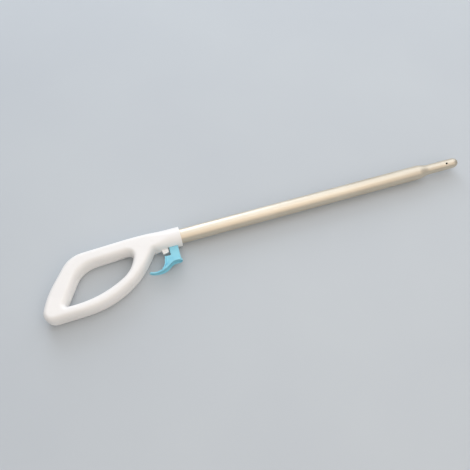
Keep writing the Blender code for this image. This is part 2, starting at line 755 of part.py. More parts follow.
def return_spring(parent, finish):
    """Compression spring round the rod, one unbroken tube. Prints the least gap between its turns."""
    start = rod_stations()["spring"]
    per_turn = 9
    count = SPRING_TURNS * per_turn
    radius = (SPRING_DIA - SPRING_WIRE) / 2
    run = SPRING_LENGTH - SPRING_WIRE
    data = bpy.data.curves.new("return_spring", "CURVE")
    data.dimensions = "3D"
    data.bevel_depth = SPRING_WIRE / 2
    data.bevel_resolution = 1
    data.use_fill_caps = True
    spline = data.splines.new("POLY")
    spline.points.add(count)
    points = []
    for k in range(count + 1):
        turn = math.tau * k / per_turn
        x = start + SPRING_WIRE / 2 + run * k / count
        points.append(Vector((x, radius * math.cos(turn), radius * math.sin(turn))))
        spline.points[k].co = (*points[k], 1)
    far = [(a - b).length for i, a in enumerate(points) for b in points[i + per_turn // 2 :]]
    print(f"return_spring least gap {1000 * (min(far) - SPRING_WIRE):.2f} mm")
    data.materials.append(finish)
    spring = bpy.data.objects.new("return_spring", data)
    bpy.context.scene.collection.objects.link(spring)
    spring.parent = parent


def tube_fittings(parent, plastic, steel):
    """Bushes that guide the rod, the tube's rear plug, and the pins through the collar."""
    at = rod_stations()
    bore = ROD_RADIUS + FIT
    radius = BORE_RADIUS - FIT
    middle = (at["seat"] + GUIDE_LENGTH + NECK_END) / 2
    front = NECK_END + FIT
    guides = {
        "rod_guide_rear": (radius, at["seat"], at["seat"] + GUIDE_LENGTH),
        "rod_guide_middle": (radius, middle - MIDDLE_GUIDE_LENGTH / 2, middle + MIDDLE_GUIDE_LENGTH / 2),
        "rod_guide_front": (SPIGOT_BORE - FIT, front, front + FRONT_GUIDE_LENGTH),
    }
    for name, (outer, rear, end) in guides.items():
        add_object(name, turned_mesh(name, bush_profile(outer, bore, rear, end), ROUND_STEPS), parent, plastic)

    rear = -TUBE_INSERT
    flange = [(rear - FIT - PLUG_FLANGE, 0), (rear - FIT - PLUG_FLANGE, TUBE_RADIUS), (rear - FIT, TUBE_RADIUS)]
    body = [(rear - FIT, radius), (rear + PLUG_LENGTH, radius), (rear + PLUG_LENGTH, 0)]
    plug = add_object("tube_rear_plug", turned_mesh("tube_rear_plug", flange + body, ROUND_STEPS), parent, plastic)
    bm = bmesh.new()
    add_pin(bm, -dowel_back(), 0, DOWEL_DIA / 2 + FIT, -TUBE_DIA, TUBE_DIA)
    boolean(plug, add_object("plug_hole", mesh_from(bm, "plug_hole"), parent), "DIFFERENCE")

    bm = bmesh.new()
    add_pin(bm, PIVOT.x, PIVOT.y, PIVOT_PIN_DIA / 2, -pin_half_length(), pin_half_length())
    add_object("trigger_pivot_pin", mesh_from(bm, "trigger_pivot_pin"), parent, steel)
    bm = bmesh.new()
    add_pin(bm, -dowel_back(), 0, DOWEL_DIA / 2, -dowel_half_length(), dowel_half_length())
    add_object("tube_dowel", mesh_from(bm, "tube_dowel"), parent, steel)


def handle_screws(parent, finish):
    """Self-tapping screws from below, sunk in their pockets, with a cross recess in the head."""
    seat = -SCREW_SEAT - FIT
    head, shank = SCREW_HEAD_DIA / 2, SCREW_DIA / 2
    low = seat - SCREW_HEAD_HEIGHT
    point = SCREW_BITE - SCREW_DIA
    profile = [
        (low, 0),
        (low, 0.7 * head),
        (low + 0.3 * SCREW_HEAD_HEIGHT, 0.92 * head),
        (seat, head),
        (seat, shank),
        (point, shank),
        (SCREW_BITE, 0.3 * shank),
        (SCREW_BITE, 0),
    ]
    mesh = turned_mesh("handle_screw", profile, SMALL_STEPS)
    mesh.transform(Matrix.Rotation(-math.pi / 2, 4, "Y"))
    bm = bmesh.new()
    arm, slim, deep = 0.55 * head, 0.12 * head, 0.55 * SCREW_HEAD_HEIGHT
    cross = [
        (arm, slim), (slim, slim), (slim, arm), (-slim, arm), (-slim, slim), (-arm, slim),
        (-arm, -slim), (-slim, -slim), (-slim, -arm), (slim, -arm), (slim, -slim), (arm, -slim),
    ]
    add_prism(bm, cross, low - deep, low + deep)
    recess = mesh_from(bm, "cross_recess")
    for number, (x, y) in enumerate(SCREW_PLACES, 1):
        screw = add_object(f"handle_screw_{number}", mesh, parent, finish if number == 1 else None)
        screw.hide_render = False
        screw.display_type = "TEXTURED"
        screw.location = (x, y, 0)
        cutter = add_object(f"cross_{number}", recess, parent)
        cutter.location = (x, y, 0)
        boolean(screw, cutter, "DIFFERENCE")


def main():
    for old in list(bpy.data.objects):
        bpy.data.objects.remove(old)

    white = material("white_abs", (0.89, 0.87, 0.84), 0.38)
    blue = material("blue_abs", (0.25, 0.63, 0.78), 0.35)
    aluminium = material("satin_aluminium", (0.83, 0.76, 0.64), 0.38, 1.0)
    steel = material("bright_steel", (0.60, 0.60, 0.60), 0.25, 1.0)
    zinc = material("zinc_plate", (0.66, 0.66, 0.62), 0.35, 1.0)
    nylon = material("natural_nylon", (0.78, 0.76, 0.70), 0.45)

    outline = handle_outline(0)
    rear = min(p.x for p in outline)
    low = min(p.y for p in outline)
    frame = bpy.data.objects.new("tool_frame", None)
    bpy.context.scene.collection.objects.link(frame)
    frame.location = (-(rear + TUBE_TIP) / 2, -(low + COLLAR_RADIUS) / 2, COLLAR_RADIUS)
    slide = bpy.data.objects.new("rod_slide", None)
    bpy.context.scene.collection.objects.link(slide)
    slide.parent = frame

    handle_shell(1, "upper", frame, white)
    handle_shell(-1, "lower", frame, white)
    main_tube(frame, aluminium)
    trigger(frame, blue)
    crosshead(slide, nylon)
    rod_pieces(slide, steel, zinc, nylon)
    return_spring(frame, steel)
    tube_fittings(frame, nylon, steel)
    handle_screws(frame, zinc)

    print("frame at", [round(v, 6) for v in frame.location])
    print("pivot at", [round(v, 6) for v in frame.location + PIVOT])
    print("rod stroke", round(ROD_STROKE, 6))


main()
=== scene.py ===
import math

import bmesh
import bpy
from mathutils import Matrix, Quaternion, Vector
from mathutils.geometry import interpolate_bezier


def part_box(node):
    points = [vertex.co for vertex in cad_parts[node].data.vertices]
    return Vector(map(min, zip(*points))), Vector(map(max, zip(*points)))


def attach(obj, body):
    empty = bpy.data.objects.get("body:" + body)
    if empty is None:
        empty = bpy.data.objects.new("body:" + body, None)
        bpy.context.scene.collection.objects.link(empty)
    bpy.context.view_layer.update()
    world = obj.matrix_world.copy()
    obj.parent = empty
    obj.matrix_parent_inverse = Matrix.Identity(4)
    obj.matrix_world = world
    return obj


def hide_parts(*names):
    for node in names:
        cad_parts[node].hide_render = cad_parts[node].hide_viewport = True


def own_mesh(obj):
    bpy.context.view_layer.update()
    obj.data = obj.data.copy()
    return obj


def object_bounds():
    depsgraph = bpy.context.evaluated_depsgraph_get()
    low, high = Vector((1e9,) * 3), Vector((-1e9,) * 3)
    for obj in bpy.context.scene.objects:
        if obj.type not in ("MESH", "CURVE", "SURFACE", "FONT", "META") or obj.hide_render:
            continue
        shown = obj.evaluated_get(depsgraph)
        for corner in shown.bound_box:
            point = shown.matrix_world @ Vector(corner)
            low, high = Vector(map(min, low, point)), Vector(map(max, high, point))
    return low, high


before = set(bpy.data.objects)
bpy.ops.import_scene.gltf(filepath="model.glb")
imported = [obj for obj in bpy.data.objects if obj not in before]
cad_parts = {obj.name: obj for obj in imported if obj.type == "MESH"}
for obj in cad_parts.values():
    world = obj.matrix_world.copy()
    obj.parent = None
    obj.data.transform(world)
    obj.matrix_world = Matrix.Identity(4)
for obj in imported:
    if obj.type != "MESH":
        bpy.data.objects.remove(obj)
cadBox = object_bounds()
print("frame loaded:", len(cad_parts), "nodes")

# pieces are drawn in mm, with x = 0 at the collar's front face, on the tube's axis
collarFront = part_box("handle_shell_upper")[1].x
tubeLow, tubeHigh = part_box("main_tube")
tubeMiddle = (tubeLow + tubeHigh) / 2
toFrame = Matrix.Translation((collarFront, tubeMiddle.y, tubeMiddle.z)) @ Matrix.Scale(0.001, 4)
weld = 0.0005


def linear(hexColour):
    parts = [int(hexColour[i : i + 2], 16) / 255 for i in (1, 3, 5)]
    return [c / 12.92 if c <= 0.04045 else ((c + 0.055) / 1.055) ** 2.4 for c in parts] + [1]


def addNode(tree, kind, settings=None, links=None):
    node = tree.nodes.new(kind)
    for key, value in (settings or {}).items():
        if isinstance(key, str) and hasattr(node, key):
            setattr(node, key, value)
        else:
            node.inputs[key].default_value = value
    for key, source in (links or {}).items():
        tree.links.new(source, node.inputs[key])
    return node


def perSize(sizeMm):
    return 1000 / sizeMm  # texture scale on Object coordinates, which are in metres


def setRamp(node, stops):
    ramp = node.color_ramp
    while len(ramp.elements) < len(stops):
        ramp.elements.new(0.5)
    for element, (place, colour) in zip(ramp.elements, stops):
        element.position = place
        element.color = linear(colour)
    return node


def startMaterial(name, settings):
    material = bpy.data.materials.new(name)
    material.use_nodes = True
    tree = material.node_tree
    shader = tree.nodes["Principled BSDF"]
    for key, value in settings.items():
        shader.inputs[key].default_value = value
    place = addNode(tree, "ShaderNodeTexCoord").outputs["Object"]
    return material, tree, shader, place


# Moulded plastic: even colour with faint flow clouds, a fine spark-eroded grain and patches polished by handling.
def mouldedPlastic(name, look):
    material, tree, shader, place = startMaterial(name, {"IOR": 1.54})
    clouds = addNode(
        tree, "ShaderNodeTexNoise",
        {"Scale": perSize(look["cloudMm"]), "Detail": 3.0, "Roughness": 0.55}, {"Vector": place},
    )
    tint = setRamp(addNode(tree, "ShaderNodeValToRGB", None, {"Fac": clouds.outputs["Fac"]}), look["tints"])
    scuffs = addNode(
        tree, "ShaderNodeTexNoise",
        {"Scale": perSize(look["scuffMm"]), "Detail": 5.0, "Roughness": 0.65, "Distortion": 0.6}, {"Vector": place},
    )
    soil = addNode(
        tree, "ShaderNodeMapRange",
        {"From Min": 0.56, "From Max": 0.74, "To Min": 0.0, "To Max": look["soil"]}, {"Value": scuffs.outputs["Fac"]},
    )
    dirt = addNode(
        tree, "ShaderNodeMixRGB", {"blend_type": "MULTIPLY", "Color2": linear(look["soilTint"])},
        {"Fac": soil.outputs["Result"], "Color1": tint.outputs["Color"]},
    )
    gloss = addNode(
        tree, "ShaderNodeMapRange",
        {"From Min": 0.3, "From Max": 0.7, "To Min": look["rough"][0], "To Max": look["rough"][1]},
        {"Value": scuffs.outputs["Fac"]},
    )
    # the real grain is about 0.1 mm, drawn coarser so that it shows
    grain = addNode(
        tree, "ShaderNodeTexNoise", {"Scale": perSize(look["grainMm"]), "Detail": 2.0}, {"Vector": place}
    )
    bump = addNode(
        tree, "ShaderNodeBump", {"Strength": look["grainStrength"], "Distance": look["grainDepthMm"] / 1000},
        {"Height": grain.outputs["Fac"]},
    )
    tree.links.new(dirt.outputs["Color"], shader.inputs["Base Color"])
    tree.links.new(gloss.outputs["Result"], shader.inputs["Roughness"])
    tree.links.new(bump.outputs["Normal"], shader.inputs["Normal"])
    return material


# Drawn or plated metal: fine lines along the piece, which stretch the gloss and vary it a little.
def drawnMetal(name, look):
    material, tree, shader, place = startMaterial(name, {"Metallic": 1.0})
    stretch = addNode(
        tree, "ShaderNodeMapping",
        {"Scale": (perSize(look["lineLengthMm"]), perSize(look["lineMm"]), perSize(look["lineMm"]))}, {"Vector": place},
    )
    lines = addNode(tree, "ShaderNodeTexNoise", {"Scale": 1.0, "Detail": 3.0}, {"Vector": stretch.outputs["Vector"]})
    clouds = addNode(
        tree, "ShaderNodeTexNoise", {"Scale": perSize(look["cloudMm"]), "Detail": 4.0, "Roughness": 0.6},
        {"Vector": place},
    )
    tint = setRamp(addNode(tree, "ShaderNodeValToRGB", None, {"Fac": clouds.outputs["Fac"]}), look["tints"])
    lineShare = 0.6  # of the lines in the gloss, beside the clouds
    both = addNode(
        tree, "ShaderNodeMath", {"operation": "MULTIPLY_ADD", 1: lineShare},
        {0: lines.outputs["Fac"], 2: clouds.outputs["Fac"]},
    )
    gloss = addNode(
        tree, "ShaderNodeMapRange",
        {"From Min": 0.5, "From Max": 1.1, "To Min": look["rough"][0], "To Max": look["rough"][1]},
        {"Value": both.outputs["Value"]},
    )
    bump = addNode(
        tree, "ShaderNodeBump", {"Strength": look["lineStrength"], "Distance": look["lineDepthMm"] / 1000},
        {"Height": lines.outputs["Fac"]},
    )
    tree.links.new(tint.outputs["Color"], shader.inputs["Base Color"])
    tree.links.new(gloss.outputs["Result"], shader.inputs["Roughness"])
    tree.links.new(bump.outputs["Normal"], shader.inputs["Normal"])
    return material


# white ABS: soft gloss, a nearly even and slightly warm white
whiteAbs = mouldedPlastic("white_ABS_moulded", {
    "tints": [(0.35, "#f4f2ef"), (0.65, "#f8f6f3")], "cloudMm": 55, "scuffMm": 14,
    "soil": 0.12, "soilTint": "#e2ddd5", "rough": (0.36, 0.5),
    "grainMm": 0.9, "grainDepthMm": 0.03, "grainStrength": 0.12,
})
# light blue ABS: soft gloss, a touch cloudy
blueAbs = mouldedPlastic("light_blue_ABS_moulded", {
    "tints": [(0.35, "#82cde2"), (0.65, "#8fd6e8")], "cloudMm": 18, "scuffMm": 6,
    "soil": 0.15, "soilTint": "#cbdce2", "rough": (0.34, 0.46),
    "grainMm": 0.8, "grainDepthMm": 0.02, "grainStrength": 0.1,
})
# natural nylon: cream, waxy and duller than ABS
naturalNylon = mouldedPlastic("natural_nylon_moulded", {
    "tints": [(0.35, "#d9d2c2"), (0.65, "#e2dccd")], "cloudMm": 12, "scuffMm": 5,
    "soil": 0.3, "soilTint": "#cfc6b6", "rough": (0.42, 0.55),
    "grainMm": 0.8, "grainDepthMm": 0.02, "grainStrength": 0.1,
})
# drawn aluminium, satin anodised: warm silver with one broad soft streak of light
satinAluminium = drawnMetal("satin_anodised_aluminium", {
    "tints": [(0.3, "#dbd0bd"), (0.7, "#e2d9c8")], "cloudMm": 40, "lineLengthMm": 60, "lineMm": 0.8,
    "rough": (0.4, 0.5), "lineDepthMm": 0.02, "lineStrength": 0.12,
})
# bright drawn steel: neutral grey with sharper streaks
brightSteel = drawnMetal("bright_drawn_steel", {
    "tints": [(0.3, "#bfbfbd"), (0.7, "#cbcbc9")], "cloudMm": 25, "lineLengthMm": 40, "lineMm": 0.5,
    "rough": (0.2, 0.32), "lineDepthMm": 0.01, "lineStrength": 0.12,
})
# zinc plate on steel: finely spangled, a slightly yellow grey
zincPlate = drawnMetal("zinc_plated_steel", {
    "tints": [(0.3, "#c3c2b6"), (0.7, "#d2d1c8")], "cloudMm": 2.5, "lineLengthMm": 1.2, "lineMm": 0.8,
    "rough": (0.3, 0.5), "lineDepthMm": 0.02, "lineStrength": 0.2,
})
print("materials made")


def asObject(name, bm):
    bmesh.ops.remove_doubles(bm, verts=bm.verts, dist=weld)
    bmesh.ops.recalc_face_normals(bm, faces=bm.faces)
    if bm.calc_volume(signed=True) < 0:
        bmesh.ops.reverse_faces(bm, faces=bm.faces)
    mesh = bpy.data.meshes.new(name)
    bm.to_mesh(mesh)
    bm.free()
    piece = bpy.data.objects.new(name, mesh)
    bpy.context.scene.collection.objects.link(piece)
    return piece


def applyModifiers(piece):
    graph = bpy.context.evaluated_depsgraph_get()
    graph.update()
    mesh = bpy.data.meshes.new_from_object(piece.evaluated_get(graph))
    piece.modifiers.clear()
    old, piece.data = piece.data, mesh
    bpy.data.meshes.remove(old)


def combine(piece, tool, operation):
    modifier = piece.modifiers.new(operation, "BOOLEAN")
    modifier.operation = operation
    modifier.object = tool
    modifier.solver = "EXACT"
    applyModifiers(piece)
    bpy.data.objects.remove(tool)


def finishPiece(piece, material, body, nodes, sharpAngle=35):
    mesh = piece.data
    mesh.transform(toFrame)
    mesh.materials.clear()
    mesh.materials.append(material)
    mesh.shade_smooth()
    mesh.set_sharp_from_angle(angle=math.radians(sharpAngle))
    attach(piece, body)
    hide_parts(*nodes)
    print(piece.name, len(mesh.polygons), "faces")
    return piece


def ofKind(items, kind):
    return [item for item in items if isinstance(item, kind)]


def addBar(bm, radius, low, high, place=(0, 0), steps=48, tip=None):
    # round bar along Z, or a cone where a tip radius is given
    bmesh.ops.create_cone(
        bm, cap_ends=True, segments=steps, radius1=radius, radius2=radius if tip is None else tip,
        depth=high - low, matrix=Matrix.Translation((*place, (low + high) / 2)),
    )


def addBlock(bm, low, high):
    low, high = Vector(low), Vector(high)
    bmesh.ops.create_cube(
        bm, size=1, matrix=Matrix.Translation((low + high) / 2) @ Matrix.Diagonal((*(high - low), 1))
    )


def addPlate(bm, outline, low, high):
    face = bm.faces.new([bm.verts.new((x, y, low)) for x, y in outline])
    raised = bmesh.ops.extrude_face_region(bm, geom=[face])["geom"]
    bmesh.ops.translate(bm, verts=ofKind(raised, bmesh.types.BMVert), vec=(0, 0, high - low))


def roundEdges(bm, edges, offset):
    bmesh.ops.bevel(
        bm, geom=edges, offset=offset, segments=3, profile=0.5, affect="EDGES", material=-1, clamp_overlap=True
    )


def turned(name, profile, steps, closed=True):
    # profile points are (x, radius), spun about the tube's axis
    bm = bmesh.new()
    points = [bm.verts.new((x, 0, radius)) for x, radius in profile]
    pairs = list(zip(points, points[1:])) + ([(points[-1], points[0])] if closed else [])
    edges = [bm.edges.new(pair) for pair in pairs]
    bmesh.ops.spin(
        bm, geom=points + edges, cent=(0, 0, 0), axis=(1, 0, 0), angle=math.tau, steps=steps, use_merge=True
    )
    return asObject(name, bm)


def smoothPath(points, steps):
    # a curve through all the points, each handle a sixth of the way between the neighbours
    path = []
    spots = [Vector((*p, 0)) for p in points]
    for i in range(len(spots) - 1):
        before, after = spots[max(0, i - 1)], spots[min(len(spots) - 1, i + 2)]
        handles = spots[i] + (spots[i + 1] - before) / 6, spots[i + 1] - (after - spots[i]) / 6
        piece = interpolate_bezier(spots[i], *handles, spots[i + 1], steps + 1)
        path += piece[:-1] if i < len(spots) - 2 else piece
    return path


def ease(value):
    value = min(1, max(0, value))
    return value * value * (3 - 2 * value)


def between(first, second, share):
    return first + share * (second - first)


# Handle halves. Corners are x, y and radius.
handle = {
    "radius": 14.8,  # collar radius and half of the handle's thickness
    "bore": 11.3,
    "boreSpan": (-66, 40),
    "boreSteps": 96,
    "gap": 0.5,
    "seam": 0.7,  # broken edge along the parting line
    "tongue": 1.2,
    "tongueReach": 0.8,  # share of the gap that the tongue fills
    "flank": 8.5,  # width of the rounded flank of the bars
    "flankSteps": 14,
    "roomShare": 0.47,  # most that a flank takes of a narrow bar
    "collarShare": 0.985,  # the flank's width on the collar, as a share of the radius
    "squareness": 2.4,
    "blendUpper": (-56, -16),  # where the bar's section turns into the collar's circle
    "blendLower": (-43, -16),
    "frontEdge": 0.5,
    "step": 2.0,
    "outer": [
        (34, 14.8, 14.7), (-75, 14.8, 600), (-162.9, 11.35, 41), (-201.4, -39.8, 131), (-216.6, -81.5, 15.4),
        (-85.8, -77.5, 128), (-43.3, -14.8, 5), (34, -14.8, 14.7),  # the front is cut off square at x = 0
    ],
    "opening": [
        (-70.6, -7.37, 8.2), (-149.5, -11.42, 39), (-179.1, -62.8, 2.6), (-131.2, -63.7, 145.5), (-80.5, -36.3, 44),
    ],
    "tab": [(-21.4, -13.0), (-32.5, -13.0), (-31.0, -22.1), (-21.4, -20.0)],
    "tabHalf": 1.6,
    "tabEdge": 0.5,
    "slot": ((-22.45, -24, -3.8), (-7.2, -6.5, 3.8)),
    "screws": [(-63.4, -22.9), (-112, 1.9), (-165, -13), (-192, -64), (-140.3, -69.6), (-92.5, -53)],
    "headSeat": 8.0,
    "headPocket": 3.3,
    "shankHole": 1.8,
    "shankDepth": 9.3,
    "holeSteps": 24,
    "pins": [(-14, -6.5, 1.8, 10.5), (-54, 0, 1.8, 13.9)],  # x, y, radius, depth
}


def drawLoop(bm, corners, height, step):
    # a rounded outline: each corner is one vertex, spun round the centre of its arc
    first = last = None
    edges = []
    for i, (x, y, radius) in enumerate(corners):
        corner = Vector((x, y, height))
        toLast = (Vector((*corners[i - 1][:2], height)) - corner).normalized()
        toNext = (Vector((*corners[(i + 1) % len(corners)][:2], height)) - corner).normalized()
        half = toLast.angle(toNext) / 2
        centre = corner + (toLast + toNext).normalized() * radius / math.sin(half)
        turn = (math.pi - 2 * half) * (1 if toLast.cross(toNext).z < 0 else -1)
        start = bm.verts.new(corner + toLast * radius / math.tan(half))
        steps = max(4, math.ceil(abs(turn) * radius / step))
        arc = bmesh.ops.spin(bm, geom=[start], cent=centre, axis=(0, 0, 1), angle=turn, steps=steps)
        if last:
            edges.append(bm.edges.new((last, start)))
        first = first or start
        last = ofKind(arc["geom_last"], bmesh.types.BMVert)[0]
    edges.append(bm.edges.new((last, first)))
    for edge in edges:
        cuts = int(edge.calc_length() / step)
        if cuts:
            bmesh.ops.subdivide_edges(bm, edges=[edge], cuts=cuts)


def roundCollar(bm, sizes):
    # the bar's flanks widen into a half circle along the collar
    radius, power = sizes["radius"], sizes["squareness"]
    for vert in bm.verts:
        start, end = sizes["blendUpper"] if vert.co.y > 0 else sizes["blendLower"]
        share = ease((vert.co.x - start) / (end - start))
        if share == 0 or vert.co.z <= sizes["gap"] / 2 + sizes["seam"]:
            continue
        sine = min(1, vert.co.z / radius) ** (power / 2)
        cosine = math.sqrt(1 - sine * sine)
        width = between(sizes["flank"], sizes["collarShare"] * radius, share)
        inset = width * ((1 - share) * (1 - cosine ** (2 / power)) + share * (1 - cosine))
        vert.co.y = math.copysign(radius - inset, vert.co.y)
        vert.co.z = radius * ((1 - share) * sine ** (2 / power) + share * sine)


def readOutline(bm, sheet):
    # keeps on each vertex of the outline its place, the way into the plastic, and the room up to the far edge
    layers = bm.verts.layers
    base, inward, room = layers.float_vector.new("base"), layers.float_vector.new("inward"), layers.float.new("room")
    rim = [e for e in bm.edges if e.is_boundary]
    for edge in rim:
        run = (edge.verts[1].co - edge.verts[0].co).normalized()
        across = edge.link_faces[0].calc_center_median() - edge.verts[0].co
        across = (across - run * across.dot(run)).normalized()
        for vert in edge.verts:
            vert[inward] = Vector(vert[inward]) + across
    for vert in bm.verts:
        vert[base], vert[inward] = vert.co, Vector(vert[inward]).normalized()
    facing, forward, openRoom = -0.5, 0.7, 100  # two cosines, and the room where no edge lies ahead
    for vert in bm.verts:  # the far edge is the nearest one that lies ahead
        ahead = [other.co - vert.co for other in bm.verts if Vector(other[inward]).dot(vert[inward]) < facing]
        ahead = [gap.length for gap in ahead if gap.normalized().dot(vert[inward]) > forward]
        vert[room] = min(ahead, default=openRoom)
    bmesh.ops.delete(bm, geom=sheet, context="FACES_KEEP_BOUNDARY")
    return base, inward, room, rim


def handleHalf(name, side, sizes):
    bm = bmesh.new()
    radius, floor, seam = sizes["radius"], sizes["gap"] / 2, sizes["seam"]
    for corners in (sizes["outer"], sizes["opening"]):
        drawLoop(bm, corners, floor + seam, sizes["step"])
    sheet = ofKind(bmesh.ops.triangle_fill(bm, edges=bm.edges[:], use_beauty=True)["geom"], bmesh.types.BMFace)
    base, inward, room, rim = readOutline(bm, sheet)
    flank = []  # share of the flank's width, and height
    for k in range(sizes["flankSteps"] + 1):
        turn = math.pi / 2 * k / sizes["flankSteps"]
        share = 1 - max(0, math.cos(turn)) ** (2 / sizes["squareness"])
        flank.append((share, 0, max(floor + 2 * seam, radius * math.sin(turn) ** (2 / sizes["squareness"]))))
    under = [(0, seam, floor)]
    if side > 0:  # a tongue closes the parting gap from inside
        tongue = seam + sizes["tongue"]
        under += [(0, tongue, floor), (0, tongue, floor - sizes["tongueReach"] * sizes["gap"])]
    for rings in (flank, under):
        edges = rim
        for share, distance, height in rings:
            ring = bmesh.ops.extrude_edge_only(bm, edges=edges)["geom"]
            edges = ofKind(ring, bmesh.types.BMEdge)
            for vert in ofKind(ring, bmesh.types.BMVert):
                inset = distance + share * min(sizes["flank"], sizes["roomShare"] * vert[room])
                vert.co = Vector(vert[base]) + Vector(vert[inward]) * inset
                vert.co.z = height
        bmesh.ops.triangle_fill(bm, edges=edges, use_beauty=True)
    roundCollar(bm, sizes)
    bmesh.ops.bisect_plane(
        bm, geom=bm.verts[:] + bm.edges[:] + bm.faces[:], plane_co=(0, 0, 0), plane_no=(1, 0, 0), clear_outer=True
    )
    bmesh.ops.holes_fill(bm, edges=[e for e in bm.edges if e.is_boundary])
    rim = [e for e in bm.edges if all(abs(v.co.x) < weld and v.co.z > floor + seam for v in e.verts)]
    roundEdges(bm, rim, sizes["frontEdge"])
    if side < 0:
        bmesh.ops.scale(bm, vec=(1, 1, -1), verts=bm.verts)
    half = asObject(name, bm)

    bm = bmesh.new()  # stop tab behind the trigger's stem
    addPlate(bm, sizes["tab"], floor, sizes["tabHalf"])
    roundEdges(bm, [e for e in bm.edges if max(v.co.z for v in e.verts) > floor + weld], sizes["tabEdge"])
    bmesh.ops.scale(bm, vec=(1, 1, side), verts=bm.verts)
    combine(half, asObject("tab", bm), "UNION")

    bm = bmesh.new()  # seat of the tube and its plug
    addBar(bm, sizes["bore"], *sizes["boreSpan"], steps=sizes["boreSteps"])
    bmesh.ops.rotate(bm, verts=bm.verts, cent=(0, 0, 0), matrix=Matrix.Rotation(math.pi / 2, 3, "Y"))
    combine(half, asObject("bore", bm), "DIFFERENCE")
    bm = bmesh.new()
    addBlock(bm, *sizes["slot"])
    combine(half, asObject("slot", bm), "DIFFERENCE")
    bm = bmesh.new()
    for x, y, size, depth in sizes["pins"]:
        addBar(bm, size, -depth, depth, (x, y), sizes["holeSteps"])
    for place in sizes["screws"]:
        addBar(bm, sizes["shankHole"], -sizes["shankDepth"], sizes["shankDepth"], place, sizes["holeSteps"])
    combine(half, asObject("holes", bm), "DIFFERENCE")
    if side < 0:
        bm = bmesh.new()
        for place in sizes["screws"]:
            addBar(bm, sizes["headPocket"], -2 * radius, -sizes["headSeat"], place)
        combine(half, asObject("pockets", bm), "DIFFERENCE")
    return half


for word, side in (("upper", 1), ("lower", -1)):
    half = handleHalf("handleHalf_" + word, side, handle)
    finishPiece(half, whiteAbs, "handle", ["handle_shell_" + word], sharpAngle=30)
print("handle made")

# Tube, necked down to its spigot and rolled over at the end.
tube = {
    "radius": 11.0,
    "wall": 1.2,
    "rear": -60.0,
    "neck": (386.5, 403.5),
    "spigot": 7.75,
    "rollStart": 446.5,
    "rollLength": 8.0,
    "opening": 4.5,
    "neckSteps": 14,
    "rollSteps": 12,
    "roundSteps": 112,
    "slot": ((-22.45, -22, -3.8), (-7.2, -8.2, 3.8)),
    "pins": [(-14, -6.5, 1.8), (-54, 0, 1.8)],
    "pinReach": 30,
    "pinSteps": 24,
    "tipHole": (434.5, 1.5, 14),  # x, radius, degrees round from straight up
    "tipHoleSpan": (3, 20),
    "tipHoleEdge": 0.45,
    "tipHoleSteps": 40,
}


def mainTube(sizes):
    outside, inside = [(sizes["rear"], sizes["radius"])], [(sizes["rear"], sizes["radius"] - sizes["wall"])]
    start, end = sizes["neck"]
    for k in range(sizes["neckSteps"] + 1):
        share = k / sizes["neckSteps"]
        radius = between(sizes["radius"], sizes["spigot"], (share + ease(share)) / 2)
        outside.append((start + share * (end - start), radius))
        inside.append((start + share * (end - start), radius - sizes["wall"]))
    for wall, points in ((0, outside), (sizes["wall"], inside)):
        radius = sizes["spigot"] - wall
        last = math.acos(sizes["opening"] / radius)  # the dome stops at the opening
        for k in range(sizes["rollSteps"] + 1):
            turn = last * k / sizes["rollSteps"]
            along = math.sin(turn) / math.sin(last) * (sizes["rollLength"] - wall)
            points.append((sizes["rollStart"] + along, radius * math.cos(turn)))
    piece = turned("mainTube", outside + inside[::-1], sizes["roundSteps"])
    bm = bmesh.new()
    addBlock(bm, *sizes["slot"])
    combine(piece, asObject("slot", bm), "DIFFERENCE")
    bm = bmesh.new()
    for x, y, size in sizes["pins"]:
        addBar(bm, size, -sizes["pinReach"], sizes["pinReach"], (x, y), sizes["pinSteps"])
    combine(piece, asObject("holes", bm), "DIFFERENCE")
    x, size, turn = sizes["tipHole"]
    edge, skin = sizes["tipHoleEdge"], sizes["spigot"]
    cuts = [(*sizes["tipHoleSpan"], size), (skin - edge, skin + edge, size + 2 * edge)]  # the hole and its broken edge
    for low, high, tip in cuts:
        bm = bmesh.new()
        addBar(bm, size, low, high, (x, 0), sizes["tipHoleSteps"], tip)
        bmesh.ops.rotate(
            bm, verts=bm.verts, cent=(0, 0, 0), matrix=Matrix.Rotation(math.radians(turn), 3, "X")
        )
        combine(piece, asObject("tipHole", bm), "DIFFERENCE")
    return piece


finishPiece(mainTube(tube), satinAluminium, "handle", ["main_tube"], sharpAngle=40)

# Trigger: finger band, web with its rear flange, stem, hub and the lever inside the tube.
trigger = {
    "pivot": (-14.0, -6.5),
    "hub": 4.5,
    "bore": 1.8,
    "stem": (-20.5, -7.5),
    "half": 3.5,
    "stemTaper": 0.3,
    "neckY": -11.3,
    "face": [(-6.4, -39.2), (-16, -38.3), (-22.5, -40.3), (-31, -46), (-40, -48.7), (-50, -48.5), (-57.2, -45.6)],
    "rear": [(-29.9, -26.7), (-30.5, -31), (-33, -39), (-37.5, -44.5)],
    "faceSteps": 12,
    "rearSteps": 8,
    "webSteps": 6,
    "bandGrid": (110, 44),
    "bandHalf": 7.4,
    "tailHalf": 3.7,
    "narrowing": (27, 20),  # start along the band, and length
    "bandThick": 3.0,
    "tailThick": 2.2,
    "channelDeep": 2.0,
    "tailDeep": 1.2,
    "thinning": (20, 20),
    "endReach": (0.95, 1.2),  # how far the rounded ends reach, in half widths
    "endLeast": 0.02,  # keeps the ends from closing to a point
    "channelRim": (0.9, 1.6),  # where the channel's side starts and ends, from the band's edge
    "flangeHalf": 5.2,
    "flangeThick": 2.2,
    "lever": (1.7, 12.0, 3.0),  # half waist, reach, half thickness
    "nose": 2.5,
    "lean": 3.0,  # degrees back at rest
    "voxel": 0.22,
    "smoothing": 3,
}


